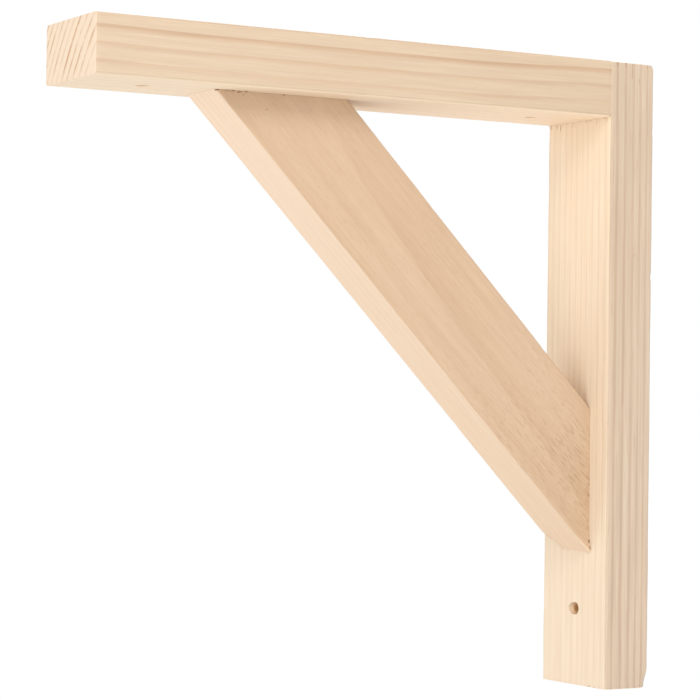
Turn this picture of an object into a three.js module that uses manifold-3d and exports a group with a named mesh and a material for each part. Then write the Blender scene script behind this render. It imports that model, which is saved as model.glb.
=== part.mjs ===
// A wooden shelf bracket: a level arm under the shelf, an upright post against the wall, and a
// slanting brace between them, three sticks of planed pine glued end to face.
// Millimetres, +Z up. The wall is the plane y = 0 and the arm reaches out along -Y. The width runs
// along X, with x = 0 in its middle. The origin is in the middle of the post's back face.

import * as THREE from 'three';
import { mergeVertices } from 'three/addons/utils/BufferGeometryUtils.js';
import Module from 'manifold-3d';

const wasm = await Module();
wasm.setup();

// Overall size
const bracketHeight = 285; // post's foot to the arm's top
const bracketReach = 280; // wall to the arm's tip
const bracketWidth = 50; // arm and post alike

// The sticks
const armHeight = 25.5;
const postDepth = 24;
const postTopDrop = 0.4; // the post's sawn top stops this much below the arm's top
const braceWidth = 46; // seen from the side
const braceThickness = 27; // along X
const braceFootOffset = -2; // the brace's middle off the bracket's, at the post
const braceHeadOffset = -3.5; // and under the arm, because it is glued on a little askew
const braceFootHeight = 61.5; // post's foot to the brace's lower edge
const braceHeadReach = 218; // wall to the brace's lower edge under the arm
const glueLine = 0.3; // between the brace's sawn ends and the faces they are glued to

// Edges taken off with sandpaper
const longEdgeRadius = 1.2; // along the planed arm and post
const braceEdgeRadius = 0.8; // along the brace, which is left sharper
const sawnEdgeEase = 0.3; // round the sawn ends
const edgeSteps = 2; // a quarter round edge has twice as many facets

// Screw holes
const wallHoleDiameter = 5;
const wallHoleHeight = 35; // above the post's foot
const wallHoleOffset = 1; // off the post's middle
const shelfHoleDiameter = 5;
const tipHoleInset = 33; // from the arm's tip
const innerHoleInset = 27; // from the post's front face
const holeSides = 32;

// Worked out from the sizes above
const armTop = bracketHeight / 2;
const armUnderside = armTop - armHeight;
const postFoot = -bracketHeight / 2;
const armLength = bracketReach - postDepth;
const postHeight = bracketHeight - postTopDrop;

// The outline of a stick's cross section: a rectangle with its four corners rounded.
function roundedSection(width, height, radius) {
  const x = width / 2 - radius;
  const y = height / 2 - radius;
  const section = new THREE.Shape();
  section.absarc(x, y, radius, 0, Math.PI / 2);
  section.absarc(-x, y, radius, Math.PI / 2, Math.PI);
  section.absarc(-x, -y, radius, Math.PI, Math.PI * 1.5);
  section.absarc(x, -y, radius, Math.PI * 1.5, Math.PI * 2);
  section.closePath();
  return section;
}

// A stick lying along +Z from z = 0 to its length, with its sawn ends lightly eased.
function stick(width, height, length, edgeRadius) {
  const body = new THREE.ExtrudeGeometry(roundedSection(width, height, edgeRadius), {
    depth: length - 2 * sawnEdgeEase,
    curveSegments: edgeSteps,
    bevelThickness: sawnEdgeEase,
    bevelSize: sawnEdgeEase,
    bevelOffset: -sawnEdgeEase,
    bevelSegments: 1,
  });
  return body.translate(0, 0, sawnEdgeEase);
}

// A drill's path along Y, long enough to come out of both faces of a piece this thick.
function drill(diameter, thickness) {
  return new THREE.CylinderGeometry(diameter / 2, diameter / 2, thickness * 2, holeSides);
}

function solidFrom(geometry) {
  const bare = geometry.clone();
  bare.deleteAttribute('normal');
  bare.deleteAttribute('uv');
  const merged = mergeVertices(bare, 1e-4);
  return new wasm.Manifold(new wasm.Mesh({
    numProp: 3,
    vertProperties: new Float32Array(merged.attributes.position.array),
    triVerts: new Uint32Array(merged.index.array),
  }));
}

// A geometry with each of the others taken away from it.
function cutAway(geometry, cutters) {
  let solid = solidFrom(geometry);
  for (const cutter of cutters) {
    solid = solid.subtract(solidFrom(cutter));
  }
  const mesh = solid.getMesh();
  const result = new THREE.BufferGeometry();
  result.setAttribute('position', new THREE.BufferAttribute(mesh.vertProperties, mesh.numProp));
  result.setIndex(new THREE.BufferAttribute(mesh.triVerts, 1));
  result.computeVertexNormals();
  return result;
}

function pineMesh(name, geometry, color, roughness) {
  const material = new THREE.MeshStandardMaterial({ color, roughness, metalness: 0 });
  const mesh = new THREE.Mesh(geometry, material);
  mesh.name = name;
  return mesh;
}

// The arm. It is drawn upright, with its height along its own Y and its length along its own Z, so
// the two shelf screw holes run along Y. Laid down, its butt end meets the post's front face.
function makeShelfArm() {
  const holes = [innerHoleInset, armLength - tipHoleInset].map(
    (along) => drill(shelfHoleDiameter, armHeight).translate(0, 0, along),
  );
  const geometry = cutAway(stick(bracketWidth, armHeight, armLength, longEdgeRadius), holes);
  const arm = pineMesh('shelf_arm', geometry, '#ead0ae', 0.62);
  arm.rotation.x = Math.PI / 2;
  arm.position.set(0, -postDepth, armTop - armHeight / 2);
  return arm;
}

// The post, with its one hole for the wall screw low down.
function makeWallPost() {
  const hole = drill(wallHoleDiameter, postDepth).translate(wallHoleOffset, 0, wallHoleHeight);
  const geometry = cutAway(stick(bracketWidth, postDepth, postHeight, longEdgeRadius), [hole]);
  const post = pineMesh('wall_post', geometry, '#e9cfae', 0.62);
  post.position.set(0, -postDepth / 2, postFoot);
  return post;
}

// The brace: a stick laid on the slant, longer than needed, then sawn level under the arm and
// upright in front of the post.
function makeDiagonalBrace() {
  const foot = new THREE.Vector3(braceFootOffset, -postDepth, postFoot + braceFootHeight);
  const head = new THREE.Vector3(braceHeadOffset, -braceHeadReach, armUnderside);
  const along = head.clone().sub(foot).normalize();
  const across = new THREE.Vector3(0, along.z, -along.y).normalize();
  const sideways = across.clone().cross(along);
  const spare = braceWidth * 1.5;
  const length = head.distanceTo(foot) + 2 * spare;
  const start = foot.clone()
    .addScaledVector(across, braceWidth / 2)
    .addScaledVector(along, -spare);
  const slant = new THREE.Matrix4().makeBasis(sideways, across, along).setPosition(start);
  const blank = stick(braceThickness, braceWidth, length, braceEdgeRadius).applyMatrix4(slant);

  const room = length * 2;
  const aboveCut = new THREE.BoxGeometry(room, room, room);
  aboveCut.translate(0, 0, armUnderside - glueLine + room / 2);
  const behindCut = new THREE.BoxGeometry(room, room, room);
  behindCut.translate(0, -postDepth - glueLine + room / 2, 0);
  return pineMesh('diagonal_brace', cutAway(blank, [aboveCut, behindCut]), '#e2c39c', 0.6);
}

const bracket = new THREE.Group();
bracket.add(makeShelfArm(), makeWallPost(), makeDiagonalBrace());

export default bracket;
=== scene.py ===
import math
import random

import bmesh
import bpy
from mathutils import Matrix, Vector, noise


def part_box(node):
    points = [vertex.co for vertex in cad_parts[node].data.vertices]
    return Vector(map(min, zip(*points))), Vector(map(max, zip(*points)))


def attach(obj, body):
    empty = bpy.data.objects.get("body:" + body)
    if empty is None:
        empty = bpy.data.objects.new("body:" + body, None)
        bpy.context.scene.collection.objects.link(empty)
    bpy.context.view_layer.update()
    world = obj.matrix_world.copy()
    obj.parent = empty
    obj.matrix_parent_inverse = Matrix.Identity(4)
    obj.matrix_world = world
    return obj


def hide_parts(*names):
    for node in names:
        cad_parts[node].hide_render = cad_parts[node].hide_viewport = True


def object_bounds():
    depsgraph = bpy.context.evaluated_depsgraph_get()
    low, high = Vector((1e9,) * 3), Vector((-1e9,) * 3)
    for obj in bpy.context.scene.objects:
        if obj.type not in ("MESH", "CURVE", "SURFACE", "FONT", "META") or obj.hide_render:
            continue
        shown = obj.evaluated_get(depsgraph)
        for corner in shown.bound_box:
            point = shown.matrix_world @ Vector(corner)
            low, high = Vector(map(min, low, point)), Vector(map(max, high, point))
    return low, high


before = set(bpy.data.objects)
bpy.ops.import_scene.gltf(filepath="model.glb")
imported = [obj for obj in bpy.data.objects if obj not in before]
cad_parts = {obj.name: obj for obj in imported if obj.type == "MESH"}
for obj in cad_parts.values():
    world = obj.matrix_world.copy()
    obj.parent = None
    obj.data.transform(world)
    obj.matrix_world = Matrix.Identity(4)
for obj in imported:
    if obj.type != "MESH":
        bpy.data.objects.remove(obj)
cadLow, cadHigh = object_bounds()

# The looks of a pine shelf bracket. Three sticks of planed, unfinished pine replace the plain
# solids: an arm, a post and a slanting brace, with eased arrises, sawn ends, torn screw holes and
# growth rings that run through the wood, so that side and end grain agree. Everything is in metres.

mm = 0.001
weldGap = 1e-6
cutGap = 1e-7
up = Vector((0, 0, 1))
toWall = Vector((0, 1, 0))


def tint(red, green, blue):
    # a colour as it is read off a screen, 0 to 255, made linear for a shader
    def linear(part):
        share = part / 255
        return share / 12.92 if share <= 0.04045 else ((share + 0.055) / 1.055) ** 2.4
    return (linear(red), linear(green), linear(blue), 1.0)


def smooth(low, high, value):
    # 0 at low, 1 at high, eased between them
    share = min(1.0, max(0.0, (value - low) / (high - low)))
    return share * share * (3 - 2 * share)


# Camera

shot = {
    "azimuth": 59.815,
    "elevation": -1.152,
    "roll": 0.774,
    "distance": 1.11895,
    "aim": Vector((0, -0.14, 0)),
    "slideRight": 4.179 * mm,
    "slideUp": -8.829 * mm,
    "focalPixels": 2551.7,
    "framePixels": 700,
    "sensor": 36,
}


def placeCamera(shot):
    turn, rise, roll = (math.radians(shot[key]) for key in ("azimuth", "elevation", "roll"))
    back = Vector((math.sin(turn) * math.cos(rise), -math.cos(turn) * math.cos(rise), math.sin(rise)))
    level = (-back).cross(up).normalized()
    upright = level.cross(-back)
    rightward = level * math.cos(roll) + upright * math.sin(roll)
    upward = upright * math.cos(roll) - level * math.sin(roll)
    eye = shot["aim"] + back * shot["distance"] - rightward * shot["slideRight"] - upward * shot["slideUp"]
    camera = bpy.data.objects.new("camera", bpy.data.cameras.new("camera"))
    camera.data.sensor_width = shot["sensor"]
    camera.data.lens = shot["focalPixels"] * shot["sensor"] / shot["framePixels"]
    camera.matrix_world = Matrix.Translation(eye) @ Matrix((rightward, upward, back)).transposed().to_4x4()
    bpy.context.scene.collection.objects.link(camera)
    bpy.context.scene.camera = camera


placeCamera(shot)
print("camera placed")


# Shader maths: a wire is one output of a node, and sums on it add Math nodes

class Wire:
    def __init__(self, tree, socket):
        self.tree = tree
        self.socket = socket

    def node(self, kind, settings, sockets, output=0):
        made = self.tree.nodes.new(kind)
        for name, setting in settings.items():
            setattr(made, name, setting)
        for name, value in sockets.items():
            if isinstance(value, Wire):
                self.tree.links.new(value.socket, made.inputs[name])
            else:
                made.inputs[name].default_value = value
        return Wire(self.tree, made.outputs[output])

    def math(self, operation, *others, clamp=False):
        settings = {"operation": operation, "use_clamp": clamp}
        return self.node("ShaderNodeMath", settings, dict(enumerate((self, *others))))

    def vector(self, operation, *others, output=0):
        sockets = dict(enumerate((self, *others)))
        return self.node("ShaderNodeVectorMath", {"operation": operation}, sockets, output)

    def __add__(self, other):
        return self.math("ADD", other)

    def __sub__(self, other):
        return self.math("SUBTRACT", other)

    def __mul__(self, other):
        return self.math("MULTIPLY", other)

    def __rsub__(self, other):
        return self.math("MULTIPLY", -1) + other

    def step(self, low, high):
        # 0 below low, 1 above high, and eased between them; turned round where low is over high
        settings = {"interpolation_type": "SMOOTHSTEP"}
        first, last, start, end = (low, high, 0, 1) if low < high else (high, low, 1, 0)
        sockets = {"Value": self, "From Min": first, "From Max": last, "To Min": start, "To Max": end}
        return self.node("ShaderNodeMapRange", settings, sockets)

    def atLeast(self, least):
        # what runs from 0 to 1, made to run from least to 1
        return self * (1 - least) + least

    def dot(self, direction):
        return self.vector("DOT_PRODUCT", tuple(direction), output=1)

    def mix(self, first, second):
        # self is the share of the second colour
        sockets = {0: self, 6: first, 7: second}
        return self.node("ShaderNodeMix", {"data_type": "RGBA"}, sockets, 2)

    def overlay(self, shade):
        # self is a colour; a shade over the middle grey lightens it, and one under it darkens it
        sockets = {0: 1.0, 6: self, 7: shade}
        return self.node("ShaderNodeMix", {"data_type": "RGBA", "blend_type": "OVERLAY"}, sockets, 2)


def noiseOf(scales, detail=2.0, roughness=0.5, cut=None, shift=0.0):
    # what a cloud needs: its waves a metre in each direction of the wood, and the range that a cut keeps
    return {"scales": scales, "detail": detail, "roughness": roughness, "cut": cut, "shift": shift}


def cloud(place, look):
    # soft noise from 0 to 1; with a cut, 0 below it and 1 above it
    along, radial, flat = place
    scales = look["scales"]
    spot = along.node("ShaderNodeCombineXYZ", {}, {
        0: (along + look["shift"]) * scales[0], 1: radial * scales[1], 2: flat * scales[2],
    })
    sockets = {"Vector": spot, "Scale": 1.0, "Detail": look["detail"], "Roughness": look["roughness"]}
    value = along.node("ShaderNodeTexNoise", {}, sockets)
    return value.step(*look["cut"]) if look["cut"] else value


def weighed(marks, weights):
    # the marks added up, each times its weight
    parts = [marks[name] * weight for name, weight in weights.items()]
    total = parts[0]
    for part in parts[1:]:
        total = total + part
    return total


# The holes, in the places that the solids have them

armLow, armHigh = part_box("shelf_arm")
postLow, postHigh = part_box("wall_post")

# the flare is given as depths from the mouth, each with its share of the whole flare
drill = {
    "radius": 2.5 * mm, "sides": 48, "past": 2 * mm,
    "flareSteps": ((0.0, 1.0), (0.35 * mm, 0.45), (0.9 * mm, 0.1), (1.6 * mm, 0.0)),
    "exitDepth": 0.5 * mm, "exitFlare": 0.2 * mm,
    "tearDepth": 1.5 * mm, "tearWaves": 1.7, "tearLeast": 0.3,
}
wallDrill = {
    "height": 35 * mm, "aside": 1 * mm, "seed": 4.7,
    "flare": 0.3 * mm, "tear": 0.35 * mm, "sideTear": 0.9, "sideDepth": 2.4 * mm,
}
armDrill = {
    "tipInset": 33 * mm, "tipSeed": 2.2, "innerInset": 27 * mm, "innerSeed": 8.4,
    "flare": 0.5 * mm, "tear": 0.5 * mm, "sideTear": 0.15, "sideDepth": 1.2 * mm,
}


def holeThrough(centre, axis, depth, look, seed):
    # the rings of its plug are pairs of a place along the axis and a radius
    radius = drill["radius"]
    past = drill["past"]
    wayOut = radius + drill["exitFlare"]
    rings = [(-past, 0.0), (-past, radius + look["flare"])]
    rings += [(at, radius + look["flare"] * share) for at, share in drill["flareSteps"]]
    rings += [(depth - drill["exitDepth"], radius), (depth, wayOut)]
    rings += [(depth + past, wayOut), (depth + past, 0.0)]
    return {**look, "centre": centre, "axis": axis, "depth": depth, "rings": rings, "seed": seed}


wallHole = holeThrough(
    Vector((wallDrill["aside"], postLow.y, postLow.z + wallDrill["height"])), toWall,
    postHigh.y - postLow.y, wallDrill, wallDrill["seed"],
)
armHoles = [
    holeThrough(Vector((0, y, armLow.z)), up, armHigh.z - armLow.z, armDrill, seed)
    for y, seed in (
        (armLow.y + armDrill["tipInset"], armDrill["tipSeed"]),
        (armHigh.y - armDrill["innerInset"], armDrill["innerSeed"]),
    )
]


# The wood: what all the sticks share, and then the grain that a stick has unless it says otherwise

black = (0.0, 0.0, 0.0, 1)
white = (1.0, 1.0, 1.0, 1)

pine = {
    "farDriftReach": 50 * mm, "nearDriftReach": 75 * mm, "swingScale": 0.9, "swingDetail": 1.0,
    "fade": noiseOf((14, 60, 60)), "fadeAmount": 0.9, "fadeLeast": 0.55,
    "coarse": noiseOf((22, 420, 420), roughness=0.55),
    "frontSharpness": 5, "frontDucts": 0.6, "arrisCore": 0.2 * mm, "arrisAmount": 0.12,
    "endInner": 0.25 * mm, "endOuter": 0.1 * mm,
    "dash": noiseOf((90, 420, 170), roughness=0.6, cut=(0.36, 0.6)), "dashAmount": 0.9, "dashLeast": 0.3,
    "plainWidth": 14 * mm, "plainLeast": 0.4,
    "speck": noiseOf((700, 900, 500), 3.0, 0.7, cut=(0.6, 0.75)), "speckAmount": 0.3,
    # the reach of the screw-hole colour, which is partly the drilled wood's tone and partly painted shade
    "boreReach": 4 * mm, "boreFull": 3 * mm, "boreMouth": -0.05 * mm,
    "boreEnd": 0.05 * mm, "boreEndFull": 0.5 * mm, "boreToneAndShade": 0.85,
    "sawMarks": noiseOf((1800, 30, 40)), "sawSlant": 0.2,
    "plainRoughness": 0.56,
    "roughness": {"late": -0.1, "fibre": 0.12, "sawn": 0.15, "bore": 0.2, "arris": -0.06},
    "relief": {"late": 0.35, "fibre": 0.4, "coarse": 0.5, "torn": -0.8, "sawMarks": 0.9, "sawnLate": -0.2},
    "bumpStrength": 0.5, "bumpDistance": 0.12 * mm, "specular": 0.35,
}
plainGrain = {
    "crowdIn": 0.0, "crowdOut": 0.0, "ringUneven": 0.0, "taper": 0.0, "farDrift": 0.0, "nearDrift": 0.0,
    "ductNoise": noiseOf((120, 1300, 1300), 1.0, cut=(0.62, 0.78), shift=3.1), "ductAmount": 0.14,
    "ends": None, "torn": None,
}


def ringsOf(wood, stick, look):
    # 1 in the dark late wood of a growth ring and 0 in its pale early wood
    along, radial, flat = wood
    half = stick["half"]
    pith = look["pithAway"]
    fromPith = (radial + pith) * (radial + pith) + flat * flat
    depth = fromPith.math("SQRT") - pith
    wander = cloud(wood, look["wanderNoise"]) - 0.5
    depth = depth + wander * look["wander"] + along * look["taper"]
    depth = depth - along.step(half.z - pine["farDriftReach"], half.z) * look["farDrift"]
    depth = depth - along.step(-half.z + pine["nearDriftReach"], -half.z) * look["nearDrift"]
    shifted = depth - look["ringAt"]
    inner = shifted.math("MINIMUM", 0)
    outer = shifted.math("MAXIMUM", 0)
    count = shifted * (1 / look["ringSpacing"]) + look["latePeak"]
    count = count - inner * inner * look["crowdIn"] + outer * outer * look["crowdOut"]
    sockets = {"W": count * pine["swingScale"], "Scale": 1.0, "Detail": pine["swingDetail"]}
    swing = count.node("ShaderNodeTexNoise", {"noise_dimensions": "1D"}, sockets)
    count = count + (swing - 0.5) * look["ringUneven"]
    share = count.math("FRACT")
    late = share.step(look["lateStart"], look["latePeak"]) * share.step(1.0, look["lateEnd"])
    year = count.math("FLOOR")
    seeded = {"W": year + look["yearSeed"]}
    strength = year.node("ShaderNodeTexWhiteNoise", {"noise_dimensions": "1D"}, seeded)
    fade = cloud(wood, pine["fade"]) * pine["fadeAmount"] + pine["fadeLeast"]
    return late * strength.atLeast(1 - look["ringVariety"]) * fade


def boreMask(place, stick, nothing):
    # 1 on the wood inside a screw hole, whose colour there is partly the drilled wood's warmer tone and
    # partly painted shade; it grows from the mouth inwards and ends short of the far side
    bore = nothing
    radius = drill["radius"]
    for hole in stick["holes"]:
        offset = place.vector("SUBTRACT", tuple(hole["centre"]))
        level = offset.vector("MULTIPLY", tuple(1 - abs(part) for part in hole["axis"]))
        fromAxis = level.vector("LENGTH", output=1)
        depth = offset.dot(hole["axis"])
        inside = fromAxis.step(radius + pine["boreReach"], radius + pine["boreFull"])
        inside = inside * depth.step(pine["boreMouth"], hole["sideDepth"])
        inside = inside * depth.step(hole["depth"] - pine["boreEnd"], hole["depth"] - pine["boreEndFull"])
        bore = bore.math("MAXIMUM", inside)
    return bore


def endGrain(wood, late, ends):
    # a sawn end: the rings cut across, in dashes, weaker on one side, and fine specks
    radial = wood[1]
    dash = cloud(wood, pine["dash"]) * pine["dashAmount"] + pine["dashLeast"]
    plain = radial.step(ends["plainFrom"], ends["plainFrom"] + pine["plainWidth"]).atLeast(pine["plainLeast"])
    rings = (late * dash * plain).math("MINIMUM", 1.0).mix(ends["pale"], ends["late"])
    return (cloud(wood, pine["speck"]) * pine["speckAmount"]).mix(rings, ends["late"])


def pineMaterial(name, stick, look):
    material = bpy.data.materials.new(name)
    material.use_nodes = True
    tree = material.node_tree
    surface = tree.nodes["Principled BSDF"]
    place = Wire(tree, tree.nodes.new("ShaderNodeTexCoord").outputs["Object"])

    # Where a point is in the stick: across it twice, and along it, from its middle
    half = stick["half"]
    middle = stick["middle"]
    sideways = place.dot(stick["sideways"]) - stick["sideways"].dot(middle)
    across = place.dot(stick["across"]) - stick["across"].dot(middle)
    along = place.dot(stick["along"]) - stick["along"].dot(middle)
    board = (along, across, sideways)

    # Where it is in the tree: along the trunk, out from the pith, and round it
    lean = math.radians(look["ringLean"])
    radial = sideways * math.cos(lean) - across * math.sin(lean)
    flat = sideways * math.sin(lean) + across * math.cos(lean)
    wood = (along, radial, flat)

    # Masks of place: the front face (given a lighter colour as painted light), the sawn ends, the arrises and
    # the screw holes
    nothing = along * 0
    front = (across + half.y).step(look["frontEdge"], look["frontEdge"] / pine["frontSharpness"])
    endOne = along.step(half.z - pine["endInner"], half.z - pine["endOuter"])
    endTwo = along.step(-half.z + pine["endInner"], -half.z + pine["endOuter"])
    sawn = endOne.math("MAXIMUM", endTwo) if look["ends"] else nothing
    fromSide = half.x - sideways.math("ABSOLUTE")
    fromFace = half.y - across.math("ABSOLUTE")
    fromArris = (fromSide * fromSide + fromFace * fromFace).math("SQRT")
    arris = fromArris.step(look["arris"], pine["arrisCore"])
    bore = boreMask(place, stick, nothing)

    # Growth rings, fibres and the dark dashes of resin ducts
    late = ringsOf(wood, stick, look) * (1 - front * (1 - look["frontLate"]))
    fibre = cloud(wood, look["fibreNoise"])
    coarse = cloud(wood, pine["coarse"])
    ducts = cloud(wood, look["ductNoise"]) * look["ductAmount"] * (1 - front * pine["frontDucts"])

    # Colour, with painted light on the front face
    base = cloud(wood, look["patchNoise"]).mix(look["pale"], look["warm"])
    # painted light: the front face gets a lighter colour than the sides, brighter or darker along the stick
    # as the light falls on it
    paintedLitFront = along.step(-half.z, half.z).mix(look["paintedLitFrontStart"], look["paintedLitFrontEnd"])
    ringed = (late * look["lateAmount"]).math("MINIMUM", 1.0).mix(front.mix(base, paintedLitFront), look["late"])
    streak = (fibre - 0.5) * look["fibreAmount"] + (coarse - 0.5) * look["coarseAmount"] + 0.5
    colour = ringed.overlay(streak.math("ADD", 0, clamp=True).mix(black, white))
    colour = ducts.mix(colour, look["late"])
    if look["ends"]:
        colour = sawn.mix(colour, endGrain(wood, late, look["ends"]))

    # Torn grain: fine dark splits and pale lifted fibres where the plane caught the wood; the pale fibres,
    # strongest towards the brace's foot, are partly painted light
    torn = nothing
    if look["torn"]:
        tears = look["torn"]
        where = along.step(tears["alongEnd"], tears["alongStart"]).atLeast(tears["least"])
        where = where * (1 - front) * cloud(board, tears["patches"]).atLeast(tears["patchLeast"])
        torn = where * cloud(board, tears["splits"])
        colour = (torn * tears["amount"]).mix(colour, tears["dark"])
        # pale lifted fibres, partly real and partly painted light that brightens the side towards the foot
        liftedFibreAndLight = where * cloud(board, tears["liftedFibreAndLight"]) * tears["amount"] * tears["liftedShare"]
        colour = liftedFibreAndLight.mix(colour, tears["pale"])
    colour = (arris * pine["arrisAmount"] * coarse).mix(colour, look["late"])
    if stick["holes"]:
        # inside the screw holes: the drilled wood's warmer tone together with painted shade, growing from the
        # mouth inwards
        colour = (bore * pine["boreToneAndShade"]).mix(colour, look["bore"])

    # Roughness and relief
    sawPlace = (sideways * pine["sawSlant"] + across, along, sideways)
    marks = {
        "late": late, "fibre": fibre, "coarse": coarse, "torn": torn, "sawn": sawn, "bore": bore,
        "arris": arris, "sawMarks": sawn * cloud(sawPlace, pine["sawMarks"]), "sawnLate": sawn * late,
    }
    roughness = weighed(marks, pine["roughness"]) + pine["plainRoughness"]
    sockets = {
        "Strength": pine["bumpStrength"], "Distance": pine["bumpDistance"],
        "Height": weighed(marks, pine["relief"]),
    }
    bump = roughness.node("ShaderNodeBump", {}, sockets)
    tree.links.new(colour.socket, surface.inputs["Base Color"])
    tree.links.new(roughness.socket, surface.inputs["Roughness"])
    tree.links.new(bump.socket, surface.inputs["Normal"])
    surface.inputs["Specular IOR Level"].default_value = pine["specular"]
    return material


# Building a stick: its own X runs sideways, its own Y across and its own Z along the grain

planed = {
    "edgeRadius": 1.2 * mm, "edgeSteps": 8, "endEase": 0.3 * mm, "endSteps": 2, "support": 0.35 * mm,
    "faceStep": 4 * mm, "alongStep": 2.2 * mm, "fuzz": 0.08 * mm,
}
worn = {
    "broadScales": (40, 40, 55), "broadLeast": 0.45, "fineScales": (90, 90, 420),
    "knockReach": (1.2, 3.0), "knockDepth": (0.12, 0.4),
    "nickRagged": 0.45, "nickWaves": 1.3, "sharpAngle": math.radians(38),
}


def stickBetween(low, high, across, along, holes):
    # a stick that fills a box whose sides are square to the bracket
    size = high - low
    return {
        "sideways": Vector((1, 0, 0)), "across": across, "along": along, "middle": (low + high) / 2,
        "half": Vector((size.x, abs(size.dot(across)), abs(size.dot(along)))) / 2, "holes": holes,
    }


def placeOf(stick):
    axes = Matrix((stick["sideways"], stick["across"], stick["along"])).transposed()
    return Matrix.Translation(stick["middle"]) @ axes.to_4x4()


def everything(bm):
    return bm.verts[:] + bm.edges[:] + bm.faces[:]


def scoreAcross(bm, axis, places):
    # new loops of edges where a flat plane crosses the wood
    for spot in places:
        bmesh.ops.bisect_plane(bm, geom=everything(bm), dist=cutGap, plane_co=axis * spot, plane_no=axis)


def evenly(low, high, step):
    count = max(1, round((high - low) / step))
    return [low + (high - low) * turn / count for turn in range(1, count)]


def bevelWhere(bm, test, width, segments):
    chosen = [edge for edge in bm.edges if test(edge)]
    bmesh.ops.bevel(
        bm, geom=chosen, offset=width, offset_type="OFFSET", segments=segments,
        profile=0.5, affect="EDGES", clamp_overlap=True, material=-1,
    )


def planedBlank(stick, shape):
    bm = bmesh.new()
    half = stick["half"]
    bmesh.ops.create_cube(bm, size=2)
    bmesh.ops.scale(bm, vec=half, verts=bm.verts)
    bevelWhere(
        bm, lambda edge: abs(edge.verts[0].co.z - edge.verts[1].co.z) > half.z,
        shape["edgeRadius"], shape["edgeSteps"],
    )
    if shape["endEase"]:
        bevelWhere(
            bm, lambda edge: all(abs(abs(vert.co.z) - half.z) < weldGap for vert in edge.verts),
            shape["endEase"], shape["endSteps"],
        )
    support = shape["edgeRadius"] + shape["support"]
    step = shape["faceStep"]
    insideX = half.x - support
    insideY = half.y - support
    scoreAcross(bm, Vector((1, 0, 0)), [-insideX, *evenly(-insideX, insideX, step), insideX])
    scoreAcross(bm, Vector((0, 1, 0)), [-insideY, *evenly(-insideY, insideY, step), insideY])
    scoreAcross(bm, Vector((0, 0, 1)), evenly(-half.z, half.z, shape["alongStep"]))
    return bm


def noiseAt(spot, scales, seed):
    return noise.noise(Vector((spot.x * scales[0], spot.y * scales[1], spot.z * scales[2] + seed)))


def wearArrises(bm, stick, shape, sharpness=None):
    # the sanded arrises: worn back unevenly, and square where another stick is glued beside them
    half = stick["half"]
    radius = shape["edgeRadius"]
    for vert in bm.verts:
        overX = abs(vert.co.x) - (half.x - radius)
        overY = abs(vert.co.y) - (half.y - radius)
        if overX <= 0 or overY <= 0:
            continue
        turn = math.atan2(overY, overX)
        broad = worn["broadLeast"] + noiseAt(vert.co, worn["broadScales"], shape["seed"])
        fine = noiseAt(vert.co, worn["fineScales"], shape["seed"])
        loss = max(0.0, broad) * shape["wear"] + max(0.0, fine) * shape["fuzz"]
        gain = sharpness(vert.co) if sharpness else 0.0
        loss *= 1 - gain
        squareOff = 1 / max(math.cos(turn), math.sin(turn)) - 1
        push = gain * radius * squareOff - loss * math.sin(2 * turn)
        vert.co.x += math.cos(turn) * push * math.copysign(1, vert.co.x)
        vert.co.y += math.sin(turn) * push * math.copysign(1, vert.co.y)


def press(bm, spot, reach, push):
    # moves the surface round a spot, most in its middle; a knock's push goes inwards
    for vert in bm.verts:
        offset = vert.co - spot
        gap = Vector((offset.x / reach.x, offset.y / reach.y, offset.z / reach.z)).length
        if gap < 1:
            vert.co += push * (1 - gap * gap) ** 2


def knockArrises(bm, stick, shape):
    # small knocks along the arrises, each pressing the wood in towards the stick's heart
    half = stick["half"]
    chance = random.Random(shape["seed"])
    for knock in range(shape["knocks"]):
        corner = Vector((
            math.copysign(half.x, chance.uniform(-1, 1)),
            math.copysign(half.y, chance.uniform(-1, 1)),
            chance.uniform(-half.z, half.z),
        ))
        reach = chance.uniform(*worn["knockReach"]) * mm
        depth = chance.uniform(*worn["knockDepth"]) * mm
        inward = Vector((-corner.x / abs(corner.x), -corner.y / abs(corner.y), 0)).normalized()
        press(bm, corner, Vector((reach, reach, reach)), inward * depth)


def dentOf(reach, push):
    return {"reach": Vector(reach) * mm, "push": Vector(push) * mm}


def wornStick(stick, shape, dents=(), sharpness=None):
    # the planed blank with its wear, knocks and dents, moved to its place; a dent is a spot and its look
    bm = planedBlank(stick, shape)
    wearArrises(bm, stick, shape, sharpness)
    knockArrises(bm, stick, shape)
    for spot, dent in dents:
        press(bm, Vector(spot), dent["reach"], dent["push"])
    bmesh.ops.transform(bm, matrix=placeOf(stick), verts=bm.verts)
    return bm


def drillCutter(bm, hole):
    # a turned plug the shape of the hole, flared and torn where the drill went in and came out
    turn = up.rotation_difference(hole["axis"]).to_matrix().to_4x4()
    profile = [bm.verts.new((radius, 0, at)) for at, radius in hole["rings"]]
    edges = [bm.edges.new(pair) for pair in zip(profile, profile[1:])]
    bmesh.ops.spin(
        bm, geom=profile + edges, cent=(0, 0, 0), axis=(0, 0, 1), dvec=(0, 0, 0),
        angle=math.tau, steps=drill["sides"], use_merge=True, use_duplicate=False,
    )
    verts = [vert for vert in bm.verts if not vert.tag]
    waves = drill["tearWaves"]
    for vert in verts:
        angle = math.atan2(vert.co.y, vert.co.x)
        ragged = noise.noise(Vector((math.cos(angle) * waves, math.sin(angle) * waves, hole["seed"])))
        tear = hole["tear"] * max(0.0, drill["tearLeast"] + ragged) * smooth(drill["tearDepth"], 0, vert.co.z)
        wide = 1 + hole["sideTear"] * smooth(hole["sideDepth"], 0, vert.co.z) * (vert.co.x < 0)
        if vert.co.xy.length > weldGap:
            vert.co.x += math.cos(angle) * tear
            vert.co.y += math.sin(angle) * tear
        vert.co.x *= wide
        vert.tag = True
    bmesh.ops.transform(bm, matrix=Matrix.Translation(hole["centre"]) @ turn, verts=verts)


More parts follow.
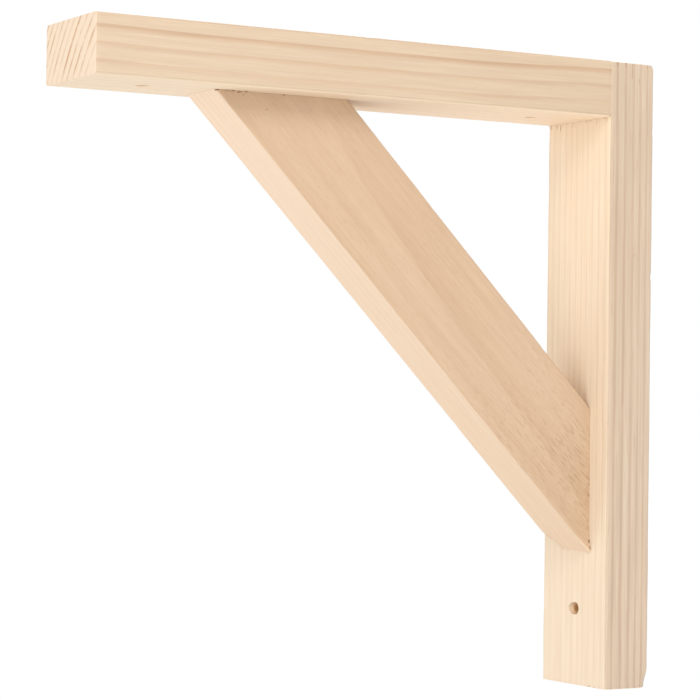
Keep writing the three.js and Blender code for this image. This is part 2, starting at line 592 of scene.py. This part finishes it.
def nickCutter(bm, nick):
    # a small ragged hollow: a ball drawn out along the wood, turned a little and made uneven
    verts = bmesh.ops.create_icosphere(bm, subdivisions=2, radius=1)["verts"]
    turn = Matrix.Rotation(math.radians(nick["lean"]), 4, "X")
    for vert in verts:
        wave = noise.noise(vert.co * worn["nickWaves"] + Vector((nick["seed"], 0, 0)))
        ragged = 1 + worn["nickRagged"] * wave
        vert.co = Vector([part * size * ragged for part, size in zip(vert.co, nick["reach"])])
    bmesh.ops.transform(bm, matrix=Matrix.Translation(nick["at"]) @ turn, verts=verts)


def nickAt(at, reach, seed, lean=0):
    return {"at": Vector(at) * mm, "reach": Vector(reach) * mm, "seed": seed, "lean": lean}


def cleanMesh(bm):
    bmesh.ops.remove_doubles(bm, verts=bm.verts, dist=weldGap)
    bmesh.ops.recalc_face_normals(bm, faces=bm.faces)


def objectFrom(bm, name):
    mesh = bpy.data.meshes.new(name)
    bm.to_mesh(mesh)
    bm.free()
    piece = bpy.data.objects.new(name, mesh)
    bpy.context.scene.collection.objects.link(piece)
    return piece


def cutOut(piece, cutter):
    # takes the cutter's shape away from the piece for good
    modifier = piece.modifiers.new("cut", "BOOLEAN")
    modifier.operation = "DIFFERENCE"
    modifier.solver = "EXACT"
    modifier.object = cutter
    graph = bpy.context.evaluated_depsgraph_get()
    mesh = bpy.data.meshes.new_from_object(piece.evaluated_get(graph))
    piece.modifiers.clear()
    old = piece.data
    piece.data = mesh
    mesh.name = piece.name
    bpy.data.meshes.remove(old)
    bpy.data.objects.remove(cutter)


def pieceFrom(bm, name, holes, nicks):
    # the worn stick as an object, with its holes and nicks cut out
    cleanMesh(bm)
    piece = objectFrom(bm, name)
    for cutterName, hollows, cutter in (("drills", holes, drillCutter), ("nicks", nicks, nickCutter)):
        if not hollows:
            continue
        cutters = bmesh.new()
        for hollow in hollows:
            cutter(cutters, hollow)
        cleanMesh(cutters)
        cutOut(piece, objectFrom(cutters, cutterName))
    return piece


def finishPiece(piece, material, node):
    piece.data.shade_smooth()
    piece.data.set_sharp_from_angle(angle=worn["sharpAngle"])
    piece.data.materials.clear()
    piece.data.materials.append(material)
    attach(piece, "root")
    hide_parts(node)


# Arm

armShape = {**planed, "wear": 0.22 * mm, "knocks": 9, "seed": 11}
armPine = {
    **plainGrain,
    "ringLean": 217, "pithAway": 0.15, "ringAt": -14.3 * mm, "ringSpacing": 5.15 * mm,
    "crowdIn": 850.0, "crowdOut": 850.0, "farDrift": 0.6 * mm, "nearDrift": 1.15 * mm,
    "wander": 1.2 * mm, "wanderNoise": noiseOf((6, 12, 12), 1.5), "yearSeed": 4058.25, "ringVariety": 0.75,
    "lateStart": 0.55, "latePeak": 0.92, "lateEnd": 0.97, "lateAmount": 0.6, "frontLate": 0.4,
    "fibreNoise": noiseOf((30, 2400, 2400), 3.0, 0.6), "fibreAmount": 0.14, "coarseAmount": 0.1,
    "patchNoise": noiseOf((5, 30, 30), cut=(0.35, 0.65)), "frontEdge": 1.0 * mm, "arris": 1.6 * mm,
    "pale": tint(203, 180, 154), "warm": tint(201, 177, 149), "late": tint(178, 141, 107),
    # painted light: the underside is lighter than the sides, most of all near the post
    # the bore colour is the drilled wood's warmer tone with painted shade in the hole
    "paintedLitFrontStart": tint(244, 221, 193), "paintedLitFrontEnd": tint(230, 209, 181), "bore": tint(204, 158, 110),
    "ends": {"plainFrom": -24 * mm, "pale": tint(221, 200, 176), "late": tint(188, 150, 115)},
}

# marks in the lower edge, and torn fibres where the arm meets the post
armNicks = [
    nickAt((25, -148, 117.2), (0.5, 1.1, 0.35), 1.2),
    nickAt((25, -141, 117.4), (0.4, 0.7, 0.3), 2.6),
    nickAt((24.6, -24.2, 117.3), (0.9, 0.5, 0.6), 3.1),
    nickAt((25, -24, 130), (0.35, 0.35, 1.8), 3.9),
    nickAt((25, -24, 121.8), (0.35, 0.3, 0.9), 5.5),
]


def makeArm():
    stick = stickBetween(armLow, armHigh, up, -toWall, armHoles)
    piece = pieceFrom(wornStick(stick, armShape), "pine_arm", armHoles, armNicks)
    finishPiece(piece, pineMaterial("arm_pine_grain", stick, armPine), "shelf_arm")
    return piece


# Post

postShape = {
    **planed, "wear": 0.2 * mm, "knocks": 8, "seed": 23,
    "squareness": 0.85, "squareBelow": 0.5 * mm, "squareAbove": 1.5 * mm,
    "footDent": dentOf((4, 4, 9), (-0.9, -1.4, 0.2)),
    "topDent": dentOf((4, 2.4, 2.4), (-0.2, -0.5, -0.5)),
}
postPine = {
    **plainGrain,
    "ringLean": 48.7, "pithAway": 0.5, "ringAt": 13.5 * mm, "ringSpacing": 2.8 * mm,
    "crowdOut": -3500.0, "ringUneven": 0.35,
    "wander": 0.5 * mm, "wanderNoise": noiseOf((4, 14, 14), 1.5), "yearSeed": 7.7, "ringVariety": 0.35,
    "lateStart": 0.54, "latePeak": 0.7, "lateEnd": 0.82, "lateAmount": 0.46, "frontLate": 0.3,
    "fibreNoise": noiseOf((26, 2400, 2400), 3.0, 0.6), "fibreAmount": 0.2, "coarseAmount": 0.14,
    "ductNoise": noiseOf((60, 1500, 1500), 1.0, cut=(0.62, 0.78), shift=3.1), "ductAmount": 0.36,
    "patchNoise": noiseOf((4, 30, 30), cut=(0.35, 0.65)), "frontEdge": 0.3 * mm, "arris": 1.6 * mm,
    "pale": tint(201, 180, 157), "warm": tint(198, 176, 152), "late": tint(172, 140, 113),
    # painted light: the front is lighter than the sides, and darker towards the foot
    # the bore colour is the drilled wood's warmer tone with painted shade in the hole
    "paintedLitFrontStart": tint(219, 199, 174), "paintedLitFrontEnd": tint(231, 211, 184), "bore": tint(206, 160, 108),
    "ends": {"plainFrom": -60 * mm, "pale": tint(222, 201, 177), "late": tint(188, 152, 118)},
}

# short splits at the sawn top, torn fibres at the foot, and one mark in the side
postNicks = [
    nickAt((25, -20.9, 141.5), (0.4, 0.25, 1.3), 1.1),
    nickAt((25, -15.8, 140.6), (0.4, 0.3, 1.9), 2.3, 18),
    nickAt((25, -12.5, 138.4), (0.3, 0.25, 4.2), 3.7),
    nickAt((25, -8.5, 133.8), (0.3, 0.25, 1.8), 4.1),
    nickAt((25, -4.0, 141.3), (0.4, 0.3, 1.4), 5.9),
    nickAt((12.8, -24, -142.4), (1.3, 0.4, 0.7), 6.3),
    nickAt((16.5, -24, -142.5), (0.7, 0.3, 0.5), 7.7),
    nickAt((25, -9.8, 54.3), (0.25, 0.9, 0.4), 8.8),
]

# in millimetres, as the nicks are
underArm = {
    "from": -22.5, "to": 23, "face": -24, "level": 117, "gap": (1.4, 4.8), "width": (0.15, 0.5),
    "depth": 0.28, "longest": 2.4, "share": (0.4, 1.0), "hang": 0.6, "lean": (-5, 5),
    "seed": 5, "nickSeed": 10,
}


def tearsUnderArm():
    # a row of torn streaks down the post's front from the arm
    nicks = []
    chance = random.Random(underArm["seed"])
    x = underArm["from"]
    while x < underArm["to"]:
        long = chance.uniform(*underArm["share"]) ** 2 * underArm["longest"]
        reach = (chance.uniform(*underArm["width"]), underArm["depth"], long)
        at = (x, underArm["face"], underArm["level"] - long * underArm["hang"])
        nicks.append(nickAt(at, reach, underArm["nickSeed"] + x, chance.uniform(*underArm["lean"])))
        x += chance.uniform(*underArm["gap"])
    return nicks


def makePost():
    stick = stickBetween(postLow, postHigh, toWall, up, [wallHole])
    half = stick["half"]

    def besideArm(place):
        if place.y > 0:
            return 0.0
        level = place.z + stick["middle"].z
        low = armLow.z - postShape["squareBelow"]
        high = armLow.z + postShape["squareAbove"]
        return postShape["squareness"] * smooth(low, high, level)

    dents = [
        ((half.x, half.y, -half.z), postShape["footDent"]),
        ((half.x, half.y, half.z), postShape["topDent"]),
    ]
    bm = wornStick(stick, postShape, dents, besideArm)
    piece = pieceFrom(bm, "pine_post", [wallHole], postNicks + tearsUnderArm())
    finishPiece(piece, pineMaterial("post_pine_grain", stick, postPine), "wall_post")
    return piece


# Brace

braceShape = {
    **planed, "width": 46 * mm, "thickness": 27 * mm, "footHeight": 61.5 * mm, "headReach": 218 * mm,
    "footOffset": -2 * mm, "headOffset": -3.5 * mm, "glueLine": 0.03 * mm, "spare": 70 * mm,
    "edgeRadius": 0.8 * mm, "edgeSteps": 6, "endEase": 0, "support": 0.3 * mm,
    "wear": 0.15 * mm, "knocks": 7, "seed": 37,
    "farDent": dentOf((6, 6, 12), (1.6, 1.6, 0)),
    "flare": dentOf((7, 16, 13), (1.7, -0.5, 0)), "flareDrop": 2 * mm,
}
bracePine = {
    **plainGrain,
    "ringLean": 12, "pithAway": 0.09, "ringAt": 0.2 * mm, "ringSpacing": 4.2 * mm,
    "ringUneven": 0.4, "taper": 0.02,
    "wander": 3.0 * mm, "wanderNoise": noiseOf((6, 10, 10), 1.5), "yearSeed": 1.3, "ringVariety": 0.5,
    "lateStart": 0.3, "latePeak": 0.85, "lateEnd": 0.9, "lateAmount": 0.2, "frontLate": 0.35,
    "fibreNoise": noiseOf((34, 2200, 2200), 3.0, 0.6), "fibreAmount": 0.14, "coarseAmount": 0.08,
    "patchNoise": noiseOf((6, 30, 30), cut=(0.35, 0.65)), "frontEdge": 0.5 * mm, "arris": 1.2 * mm,
    "pale": tint(201, 172, 143), "warm": tint(199, 169, 139), "late": tint(176, 140, 107),
    # painted light: the underside is lighter than the sides, and darker towards the foot
    "paintedLitFrontStart": tint(217, 190, 161), "paintedLitFrontEnd": tint(226, 202, 177),
    # torn grain; its pale lifted fibres towards the foot are partly painted light
    "torn": {
        "alongStart": -110 * mm, "alongEnd": -20 * mm, "least": 0.25,
        "patches": noiseOf((25, 60, 60), 1.0, cut=(0.3, 0.6)), "patchLeast": 0.3,
        "splits": noiseOf((170, 1400, 1400), roughness=0.65, cut=(0.52, 0.66), shift=0.7),
        "liftedFibreAndLight": noiseOf((170, 1400, 1400), roughness=0.65, cut=(0.55, 0.7), shift=1.9),
        "amount": 0.5, "liftedShare": 0.7, "dark": tint(160, 124, 92), "pale": tint(216, 196, 170),
    },
}

# torn fibres along the upper end under the arm, and along the lower end in front of the post
braceNicks = [
    nickAt((9.4, -217, 117), (1.0, 1.3, 0.8), 1.4),
    nickAt((9.7, -212.5, 117), (0.5, 0.8, 0.6), 2.2),
    nickAt((9.9, -209.5, 116.9), (0.5, 0.7, 0.5), 3.6, 10),
    nickAt((9.9, -206.4, 116.6), (0.5, 1.3, 0.6), 8.6, 20),
    nickAt((9.9, -203.4, 116.9), (0.5, 0.9, 0.4), 4.2),
    nickAt((9.9, -204.8, 115.2), (0.3, 0.5, 0.25), 4.9),
    nickAt((10, -193.5, 110), (0.25, 0.6, 0.35), 6.1, 30),
    nickAt((9.9, -185, 116.8), (0.6, 0.7, 0.6), 5.3),
    nickAt((10.2, -171, 117), (0.35, 0.6, 0.4), 6.8),
    nickAt((12.6, -24.4, -76.2), (1.1, 0.9, 0.9), 7.1),
    nickAt((12.4, -24.2, -79), (0.8, 0.5, 0.6), 7.9),
    nickAt((11.5, -24, -55), (0.6, 0.5, 1.0), 8.2),
    nickAt((11.4, -24, -50), (0.6, 0.5, 0.8), 9.6),
    nickAt((11.4, -24, -44), (0.4, 0.4, 1.3), 9.1),
    nickAt((11.4, -24, -28), (0.4, 0.4, 0.8), 10.4),
]


def makeBrace():
    # made longer than needed, then sawn level under the arm and upright in front of the post
    foot = Vector((braceShape["footOffset"], postLow.y, postLow.z + braceShape["footHeight"]))
    head = Vector((braceShape["headOffset"], -braceShape["headReach"], armLow.z))
    along = (head - foot).normalized()
    across = Vector((0, along.z, -along.y)).normalized()
    half = Vector((
        braceShape["thickness"] / 2,
        braceShape["width"] / 2,
        (head - foot).length / 2 + braceShape["spare"],
    ))
    stick = {
        "sideways": across.cross(along), "across": across, "along": along, "half": half, "holes": [],
        "middle": (foot + head) / 2 + across * braceShape["width"] / 2,
    }
    sawnAt = -(head - foot).length / 2
    bm = wornStick(stick, braceShape, [
        ((-half.x, -half.y, sawnAt), braceShape["farDent"]),
        ((half.x, -half.y, sawnAt - braceShape["flareDrop"]), braceShape["flare"]),
    ])
    joint = Vector((0, postLow.y - braceShape["glueLine"], armLow.z - braceShape["glueLine"]))
    for outward in (up, toWall):
        bmesh.ops.bisect_plane(
            bm, geom=everything(bm), dist=cutGap, plane_co=joint, plane_no=outward, clear_outer=True,
        )
        rim = [edge for edge in bm.edges if edge.is_boundary]
        bmesh.ops.holes_fill(bm, edges=rim, sides=0)
    piece = pieceFrom(bm, "pine_brace", [], braceNicks)
    finishPiece(piece, pineMaterial("brace_pine_grain", stick, bracePine), "diagonal_brace")
    return piece


arm = makeArm()
print("arm made,", len(arm.data.polygons), "faces")
post = makePost()
print("post made,", len(post.data.polygons), "faces")
brace = makeBrace()
print("brace made,", len(brace.data.polygons), "faces")


# Floor and light

studio = {
    "floorDrop": 1.0,
    "floorSize": 12,
    "floorColour": (0.86, 0.86, 0.86, 1),
    "floorRoughness": 0.9,
    "worldStrength": 1.0,
    "lamps": [
        {"name": "right_front", "from": (0.7, -1.3, -0.1), "size": 0.8, "power": 4.8},
        {"name": "side_high", "from": (1.15, -0.6, 0.98), "size": 0.7, "power": 9},
        {"name": "left_low", "from": (-0.95, -0.95, -0.7), "size": 0.9, "power": 2.3},
        {"name": "far_side_high", "from": (-1.2, 0.4, 0.9), "size": 0.8, "power": 8},
    ],
}


def makeStudio():
    bm = bmesh.new()
    bmesh.ops.create_grid(bm, x_segments=1, y_segments=1, size=studio["floorSize"] / 2)
    bmesh.ops.translate(bm, vec=(0, 0, cadLow.z - studio["floorDrop"]), verts=bm.verts)
    floor = objectFrom(bm, "floor")
    paint = bpy.data.materials.new("floor_paint")
    paint.use_nodes = True
    surface = paint.node_tree.nodes["Principled BSDF"]
    surface.inputs["Base Color"].default_value = studio["floorColour"]
    surface.inputs["Roughness"].default_value = studio["floorRoughness"]
    floor.data.materials.append(paint)

    world = bpy.data.worlds.new("studio")
    bpy.context.scene.world = world
    world.use_nodes = True
    background = world.node_tree.nodes["Background"]
    background.inputs["Color"].default_value = white
    background.inputs["Strength"].default_value = studio["worldStrength"]

    for lamp in studio["lamps"]:
        light = bpy.data.lights.new(lamp["name"], "AREA")
        light.shape = "SQUARE"
        light.size = lamp["size"]
        light.energy = lamp["power"]
        holder = bpy.data.objects.new(lamp["name"], light)
        holder.location = lamp["from"]
        aim = shot["aim"] - Vector(lamp["from"])
        holder.rotation_euler = aim.to_track_quat("-Z", "Y").to_euler()
        bpy.context.scene.collection.objects.link(holder)


makeStudio()
bpy.context.scene.view_settings.view_transform = "Standard"
print("studio set")
